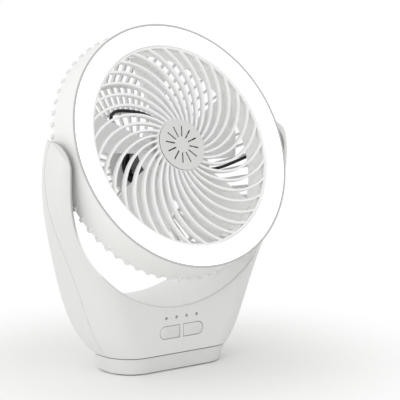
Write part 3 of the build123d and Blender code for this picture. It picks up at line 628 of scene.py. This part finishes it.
class Finish(Enum):
    """Every finish on the fan."""

    # SHELL: painted light in the saddle, painted shade by the arms and on the saddle's front rim.
    SHELL = SaddlePlastic("shell_white", (0.735, 0.735, 0.722), 0.42)
    # TRAY: painted shade along its top edge at the parting line.
    TRAY = FacedPlastic(
        "tray_white", (0.72, 0.72, 0.707), 0.42, axis=(0.0, 0.0, -1.0), face=-PART_LINE,
        depths=(-0.0012, -0.0006), recess_painted_shade_tone=0.3,
    )
    # DRUM: painted light in the duct, a painted glow there, painted shade along the lip.
    DRUM = DrumPlastic("drum_white", (0.825, 0.825, 0.81), 0.38, axis=HEAD_AXIS, origin=HEAD_ORIGIN)
    GRILLE = MouldedPlastic("grille_white", (0.865, 0.865, 0.862), 0.40)
    # Painted shade: a darker copy of the grille's plastic for the rear cage's bar ends.
    TOOTH = MouldedPlastic("tooth_white_painted_shade", (0.76, 0.76, 0.75), 0.45)
    # CAP: near-black painted shade on its slots' walls.
    CAP = FacedPlastic(
        "cap_white", (0.67, 0.67, 0.657), 0.5, grain=0.00005, cells=2200.0, axis=HEAD_AXIS, face=HEAD_FACE,
        depths=(0.0006, 0.0008), recess_painted_shade_tone=0.08,
    )
    # BUTTON: painted shade in the groove around the rounded key.
    BUTTON = FacedPlastic("button_white", (0.70, 0.70, 0.687), 0.36)
    ICON = MouldedPlastic("icon_grey", (0.665, 0.665, 0.653), 0.5)
    BLADE = MouldedPlastic("blade_white", (0.86, 0.86, 0.857), 0.36)
    BLACK = MouldedPlastic("black_plastic", (0.018, 0.018, 0.020), 0.45)
    CAN = MouldedPlastic("can_black", (0.012, 0.012, 0.014), 0.35, coat=0.3)
    LEAD = MouldedPlastic("lead_black", (0.015, 0.015, 0.016), 0.55)
    ACETAL = MouldedPlastic("bush_acetal", (0.66, 0.65, 0.60), 0.45)
    LENS = MouldedPlastic("indicator_lens", (0.30, 0.30, 0.305), 0.25, coat=0.4)
    WRAP = MouldedPlastic("cell_wrap", (0.06, 0.20, 0.42), 0.25, coat=0.5)
    RUBBER = MouldedPlastic("foot_rubber", (0.16, 0.16, 0.165), 0.75, grain=0.00008, cells=1200.0)
    FERRITE = MouldedPlastic("magnet_ferrite", (0.06, 0.06, 0.065), 0.6)
    CHIP = MouldedPlastic("led_chip", (0.85, 0.80, 0.55), 0.3)
    LIT = LitDiffuser("ring_lit", (0.92, 0.92, 0.92), 0.75)
    STEEL = BareMetal("zinc_steel", (0.62, 0.62, 0.64))
    AXLE = BareMetal("turned_steel", (0.55, 0.55, 0.57), 0.24)
    WIRE = BareMetal("hook_plate", (0.72, 0.72, 0.74), 0.16, 400.0, 0.000008)
    BRONZE = BareMetal("sintered_bronze", (0.50, 0.34, 0.18), 0.45, 1500.0, 0.00004)
    LAMINATION = BareMetal("lamination", (0.22, 0.22, 0.23), 0.5)
    COPPER = WoundWire("copper_winding", (0.78, 0.42, 0.13))
    CIRCUIT = SolderMask("circuit_green", (0.02, 0.12, 0.05))
    DARK_CIRCUIT = SolderMask("circuit_black", (0.012, 0.013, 0.013))
    LED_CIRCUIT = SolderMask("circuit_white", (0.70, 0.70, 0.68))


_MADE: dict[Finish, bpy.types.Material] = {}


def dress(piece: bpy.types.Object, finish: Finish) -> None:
    """Give a piece one finish all over.

    Args:
        piece: The object to dress.
        finish: The finish it gets.
    """
    if finish not in _MADE:
        _MADE[finish] = finish.value.material()
    piece.data.materials.clear()
    piece.data.materials.append(_MADE[finish])


def clear_selection() -> None:
    """Deselect every object."""
    for item in bpy.context.selected_objects:
        item.select_set(False)


def pick(piece: bpy.types.Object) -> None:
    """Make one object the only selected and active one.

    Args:
        piece: The object.
    """
    clear_selection()
    piece.select_set(True)
    bpy.context.view_layer.objects.active = piece


def slot_of(node: str) -> str:
    """The record's material slot of a node."""
    return next(part["material_slot"] for part in frame["record"]["subparts"] if part["node"] == node)


def body_of(node: str) -> str:
    """The body that a node belongs to."""
    bodies: dict[str, list[str]] = frame["record"]["behaviour"]["bodies"]
    return next(body for body, nodes in bodies.items() if node in nodes)


def softened(node: str, name: str, width: float, finish: Finish) -> bpy.types.Object:
    """A copy of a node with rounded edges, standing for it.

    Args:
        node: The node that is copied.
        name: The new piece's name.
        width: Width of the rounding in metres.
        finish: The finish it gets.

    Returns:
        The finished piece.
    """
    source = frame["nodes"][node]
    piece = bpy.data.objects.new(name, source.data.copy())
    bpy.context.scene.collection.objects.link(piece)
    pick(piece)
    bpy.ops.object.mode_set(mode="EDIT")
    bpy.ops.mesh.select_all(action="SELECT")
    bpy.ops.mesh.remove_doubles(threshold=MERGE)
    bpy.ops.mesh.dissolve_limited(angle_limit=math.radians(FLAT_ANGLE))
    bpy.ops.object.mode_set(mode="OBJECT")
    bevel = piece.modifiers.new("round", "BEVEL")
    bevel.width = width
    bevel.segments = ROUND_STEPS
    bevel.limit_method = "ANGLE"
    bevel.angle_limit = math.radians(EDGE_ANGLE)
    bpy.ops.object.modifier_apply(modifier=bevel.name)
    bpy.ops.object.shade_smooth_by_angle(angle=math.radians(SMOOTH_ANGLE))
    dress(piece, finish)
    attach(piece, body_of(node))
    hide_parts(node)
    slot_of(node)
    LOG.info("%s for %s: %d faces", piece.name, node, len(piece.data.polygons))
    return piece


@dataclass
class Assembly:
    """A group of nodes with their finishes."""

    finishes: dict[str, Finish]

    def build(self) -> None:
        """Give each node its finish."""
        for node, finish in self.finishes.items():
            dress(frame["nodes"][node], finish)
            LOG.info("%s: %s", node, finish.name)


@dataclass
class Base(Assembly):
    """The U-shaped base with its tray, battery and hook."""

    finishes: dict[str, Finish] = field(
        default_factory=lambda: {
            "yoke_front_shell": Finish.SHELL,
            "yoke_rear_shell": Finish.SHELL,
            "base_tray": Finish.TRAY,
            "foot_pad": Finish.RUBBER,
            "hanging_hook": Finish.WIRE,
            "base_screws": Finish.STEEL,
            "shell_screws": Finish.STEEL,
            "battery_cells": Finish.WRAP,
            "battery_cradle": Finish.BLACK,
            "charge_board": Finish.CIRCUIT,
            "usb_c_socket": Finish.STEEL,
            "friction_washer_left": Finish.BLACK,
            "friction_washer_right": Finish.BLACK,
            "pivot_bush_left": Finish.ACETAL,
            "pivot_bush_right": Finish.ACETAL,
            "arm_lead": Finish.LEAD,
        }
    )


class Symbol(Enum):
    """What a button's mark shows."""

    LIGHT = "light"
    FAN = "fan"


@dataclass
class ButtonMark:
    """A faint raised mark in the middle of a push button."""

    node: str
    symbol: Symbol
    relief: float = 0.00012
    disc: float = 0.0010
    hub: float = 0.0005
    ray_from: float = 0.0015
    ray_to: float = 0.0023
    ray_wide: float = 0.00035
    rays: int = 8
    blade_at: float = 0.0014
    blade_long: float = 0.0009
    blade_wide: float = 0.00045
    blade_turn: float = 35.0
    blades: int = 4
    disc_sides: int = 32
    blade_sides: int = 24
    merge: float = 0.000001

    def build(self) -> bpy.types.Object:
        """Model the mark and set it on its button.

        Returns:
            The finished mark.
        """
        low, high = (Vector(corner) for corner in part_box(self.node))
        centre = Vector(((low.x + high.x) / 2, low.y - self.relief, (low.z + high.z) / 2))
        piece = self._middle(centre)
        bpy.ops.object.mode_set(mode="EDIT")
        if self.symbol is Symbol.LIGHT:
            self._rays(centre)
        else:
            self._wings(centre)
        bpy.ops.mesh.select_all(action="SELECT")
        bpy.ops.mesh.remove_doubles(threshold=self.merge)
        bpy.ops.mesh.extrude_region_move(TRANSFORM_OT_translate={"value": (0.0, 2.0 * self.relief, 0.0)})
        bpy.ops.mesh.select_all(action="SELECT")
        bpy.ops.mesh.normals_make_consistent(inside=False)
        bpy.ops.object.mode_set(mode="OBJECT")
        dress(piece, Finish.ICON)
        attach(piece, body_of(self.node))
        slot_of(self.node)
        LOG.info("%s on %s", piece.name, self.node)
        return piece

    def _middle(self, centre: Vector) -> bpy.types.Object:
        """The round middle of the mark.

        Args:
            centre: Middle of the mark, in metres.

        Returns:
            The piece, with its place in its mesh.
        """
        clear_selection()
        radius = self.disc if self.symbol is Symbol.LIGHT else self.hub
        bpy.ops.mesh.primitive_circle_add(
            vertices=self.disc_sides,
            radius=radius,
            fill_type="NGON",
            location=centre,
            rotation=(math.pi / 2, 0.0, 0.0),
        )
        bpy.ops.object.transform_apply(location=True, rotation=True, scale=True)
        piece = bpy.context.active_object
        piece.name = f"{self.symbol.value}_mark"
        return piece

    def _rays(self, centre: Vector) -> None:
        """Short rays around the middle.

        Args:
            centre: Middle of the mark, in metres.
        """
        bpy.ops.mesh.select_all(action="DESELECT")
        middle = centre + Vector((0.0, 0.0, (self.ray_from + self.ray_to) / 2))
        bpy.ops.mesh.primitive_plane_add(size=1.0, location=middle, rotation=(math.pi / 2, 0.0, 0.0))
        bpy.ops.transform.resize(
            value=(self.ray_wide, 1.0, self.ray_to - self.ray_from),
            center_override=middle,
            orient_type="GLOBAL",
        )
        self._around(centre, self.rays)

    def _wings(self, centre: Vector) -> None:
        """Slanted oval blades around the middle.

        Args:
            centre: Middle of the mark, in metres.
        """
        bpy.ops.mesh.select_all(action="DESELECT")
        middle = centre + Vector((0.0, 0.0, self.blade_at))
        bpy.ops.mesh.primitive_circle_add(
            vertices=self.blade_sides,
            radius=1.0,
            fill_type="NGON",
            location=middle,
            rotation=(math.pi / 2, 0.0, 0.0),
        )
        bpy.ops.transform.resize(
            value=(self.blade_wide, 1.0, self.blade_long), center_override=middle, orient_type="GLOBAL"
        )
        bpy.ops.transform.rotate(
            value=math.radians(self.blade_turn), orient_axis="Y", center_override=middle, orient_type="GLOBAL"
        )
        self._around(centre, self.blades)

    @staticmethod
    def _around(centre: Vector, count: int) -> None:
        """Copy what is selected around the middle."""
        bpy.ops.mesh.spin(steps=count, dupli=True, angle=2.0 * math.pi, center=centre, axis=(0.0, 1.0, 0.0))


@dataclass
class Controls(Assembly):
    """Buttons with their marks, indicator lights and their board."""

    finishes: dict[str, Finish] = field(
        default_factory=lambda: {
            "light_button": Finish.BUTTON,
            "fan_button": Finish.BUTTON,
            "indicator_lenses": Finish.LENS,
            "control_board": Finish.CIRCUIT,
            "tact_switches": Finish.BLACK,
        }
    )
    marks: dict[str, Symbol] = field(
        default_factory=lambda: {"light_button": Symbol.LIGHT, "fan_button": Symbol.FAN}
    )
    key_round: float = 0.0005

    def build(self) -> None:
        """Dress the controls, round the buttons' edges and set a mark on each."""
        super().build()
        for node, symbol in self.marks.items():
            softened(node, f"{symbol.value}_key_cap", self.key_round, Finish.BUTTON)
            ButtonMark(node, symbol).build()


@dataclass
class RimTeeth:
    """Rounded ends of the rear cage's bars, in a row along the drum's rear rim."""

    node: str = "rear_grille"
    count: int = 64
    radius: float = 0.1010
    level: float = -0.0071
    size: tuple[float, float, float] = (0.0032, 0.0034, 0.0036)
    rounding: float = 0.0008
    round_steps: int = 3
    smooth_angle: float = 50.0

    def build(self) -> bpy.types.Object:
        """Model one bar end and copy it around the rim.

        Returns:
            The finished row.
        """
        turn = math.pi / self.count
        ahead, across = Vector(HEAD_AXIS), Vector((1.0, 0.0, 0.0))
        outward = across * math.cos(turn) + ahead.cross(across) * math.sin(turn)
        frame_of_tooth = Matrix((outward, ahead.cross(outward), ahead)).transposed()
        clear_selection()
        bpy.ops.mesh.primitive_cube_add(
            size=1.0,
            location=Vector(HEAD_ORIGIN) + outward * self.radius + ahead * self.level,
            rotation=frame_of_tooth.to_euler(),
            scale=self.size,
        )
        bpy.ops.object.transform_apply(location=True, rotation=True, scale=True)
        piece = bpy.context.active_object
        piece.name = "rim_teeth"
        bpy.ops.object.mode_set(mode="EDIT")
        bpy.ops.mesh.select_all(action="SELECT")
        bpy.ops.mesh.bevel(offset=self.rounding, segments=self.round_steps, affect="EDGES")
        bpy.ops.mesh.select_all(action="SELECT")
        bpy.ops.mesh.spin(
            steps=self.count - 1,
            dupli=True,
            angle=2.0 * math.pi * (self.count - 1) / self.count,
            center=HEAD_ORIGIN,
            axis=HEAD_AXIS,
        )
        bpy.ops.mesh.select_all(action="SELECT")
        bpy.ops.mesh.normals_make_consistent(inside=False)
        bpy.ops.object.mode_set(mode="OBJECT")
        bpy.ops.object.shade_smooth_by_angle(angle=math.radians(self.smooth_angle))
        # The bar ends get the grille's plastic darkened as painted shade.
        dress(piece, Finish.TOOTH)
        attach(piece, body_of(self.node))
        slot_of(self.node)
        LOG.info("%s on %s", piece.name, self.node)
        return piece


@dataclass
class Head(Assembly):
    """The drum with its light ring, grilles and pivots."""

    finishes: dict[str, Finish] = field(
        default_factory=lambda: {
            "drum_housing": Finish.DRUM,
            "light_diffuser": Finish.LIT,
            "led_board": Finish.LED_CIRCUIT,
            "led_chips": Finish.CHIP,
            "front_grille": Finish.GRILLE,
            "grille_cap": Finish.CAP,
            "rear_grille": Finish.GRILLE,
            "cover_screws": Finish.STEEL,
            "motor_lead": Finish.LEAD,
            "pivot_axle_left": Finish.AXLE,
            "pivot_axle_right": Finish.AXLE,
            "pivot_clip_left": Finish.STEEL,
            "pivot_clip_right": Finish.STEEL,
        }
    )
    vane_round: float = 0.0003

    def build(self) -> None:
        """Dress the head, with softened edges on the grille's vanes."""
        super().build()
        softened("front_grille", "spiral_grille", self.vane_round, Finish.GRILLE)
        RimTeeth().build()


@dataclass
class Drive(Assembly):
    """The fan wheel and its motor."""

    finishes: dict[str, Finish] = field(
        default_factory=lambda: {
            "fan_blades": Finish.BLADE,
            "blade_nut": Finish.STEEL,
            "motor_shaft": Finish.AXLE,
            "rotor_can": Finish.CAN,
            "rotor_magnet": Finish.FERRITE,
            "motor_mount": Finish.BLACK,
            "mount_screws": Finish.STEEL,
            "motor_board": Finish.DARK_CIRCUIT,
            "motor_bushes": Finish.BRONZE,
            "stator_core": Finish.LAMINATION,
            "stator_coils": Finish.COPPER,
        }
    )


@dataclass
class Studio:
    """Floor, light and camera."""

    floor_half: float = 6.0
    floor_colour: Colour = (0.90, 0.90, 0.89)
    fade_from: float = 0.09
    fade_to: float = 0.27
    sky: float = 0.93
    sky_lean: float = 0.22
    lamp_place: tuple[float, float, float] = (-2.1, -1.1, 0.9)
    lamp_size: float = 1.6
    lamp_power: float = 10.0
    azimuth: float = -38.5
    elevation: float = 9.42
    distance: float = 1.8978
    lens: float = 216.0
    sensor: float = 36.0
    far: float = 50.0
    aim: tuple[float, float, float] = (0.0, -0.002, 0.168)
    aim_right: float = 0.0313
    aim_down: float = 0.0345

    def build(self) -> None:
        """Set up the floor, the light and the camera."""
        self._floor()
        self._world()
        self._lamp()
        self._camera()
        bpy.context.scene.view_settings.view_transform = "Standard"

    def _floor(self) -> None:
        """A pale floor that takes the fan's shadow and fades to the background."""
        clear_selection()
        bpy.ops.mesh.primitive_plane_add(size=2.0 * self.floor_half)
        floor = bpy.context.active_object
        floor.name = "floor"
        material, graph = new_material("floor_paper")
        place = graph.position()
        away = graph.node("ShaderNodeVectorMath", {"operation": "LENGTH"}, {0: place}, "Value")
        seen = graph.seen()
        paper = graph.node("ShaderNodeBsdfDiffuse", {}, {"Color": (*self.floor_colour, 1.0)})
        bright = graph.node("ShaderNodeEmission", {}, {"Color": (1.0, 1.0, 1.0, 1.0), "Strength": 1.0})
        factor = away.between(self.fade_from, self.fade_to) * seen
        mixed = graph.node("ShaderNodeMixShader", {}, {0: factor, 1: paper, 2: bright})
        graph.node("ShaderNodeOutputMaterial", {}, {"Surface": mixed})
        floor.data.materials.append(material)

    def _world(self) -> None:
        """White surroundings: bright behind the fan, softer as light, and brighter from the left."""
        world = bpy.data.worlds.new("studio")
        world.use_nodes = True
        graph = Graph(world.node_tree)
        seen = graph.seen()
        toward = graph.node("ShaderNodeTexCoord", {}, {}, "Generated")
        right = graph.node("ShaderNodeSeparateXYZ", {}, {0: toward}, "X")
        light = self.sky - right * self.sky_lean
        strength = seen * (1.0 - light) + light
        sky = graph.node("ShaderNodeBackground", {}, {"Color": (1.0, 1.0, 1.0, 1.0), "Strength": strength})
        graph.node("ShaderNodeOutputWorld", {}, {"Surface": sky})
        bpy.context.scene.world = world

    def _lamp(self) -> None:
        """A soft lamp on the left that looks at the fan."""
        lamp = bpy.data.lights.new("key", "AREA")
        lamp.size = self.lamp_size
        lamp.energy = self.lamp_power
        holder = bpy.data.objects.new("key", lamp)
        holder.location = self.lamp_place
        toward = Vector(self.aim) - Vector(self.lamp_place)
        holder.rotation_euler = toward.to_track_quat("-Z", "Y").to_euler()
        bpy.context.scene.collection.objects.link(holder)

    def _camera(self) -> None:
        """A long lens from the front left, a little above."""
        turn, rise = math.radians(self.azimuth), math.radians(self.elevation)
        right = Vector((math.cos(turn), math.sin(turn), 0.0))
        back = Vector((math.sin(turn) * math.cos(rise), -math.cos(turn) * math.cos(rise), math.sin(rise)))
        up = back.cross(right)
        eye = Vector(self.aim) + back * self.distance + right * self.aim_right - up * self.aim_down
        camera = bpy.data.cameras.new("camera")
        camera.sensor_width = self.sensor
        camera.lens = self.lens
        camera.clip_end = self.far
        holder = bpy.data.objects.new("camera", camera)
        turned = Matrix((right, up, back)).transposed().to_4x4()
        turned.translation = eye
        holder.matrix_world = turned
        bpy.context.scene.collection.objects.link(holder)
        bpy.context.scene.camera = holder


def main() -> None:
    """Build the looks, one sub-assembly after the other."""
    logging.basicConfig(level=logging.INFO, format="%(name)s %(message)s")
    for assembly in (Base(), Controls(), Head(), Drive(), Studio()):
        assembly.build()
        LOG.info("built %s", type(assembly).__name__)


if __name__ == "__main__":
    main()
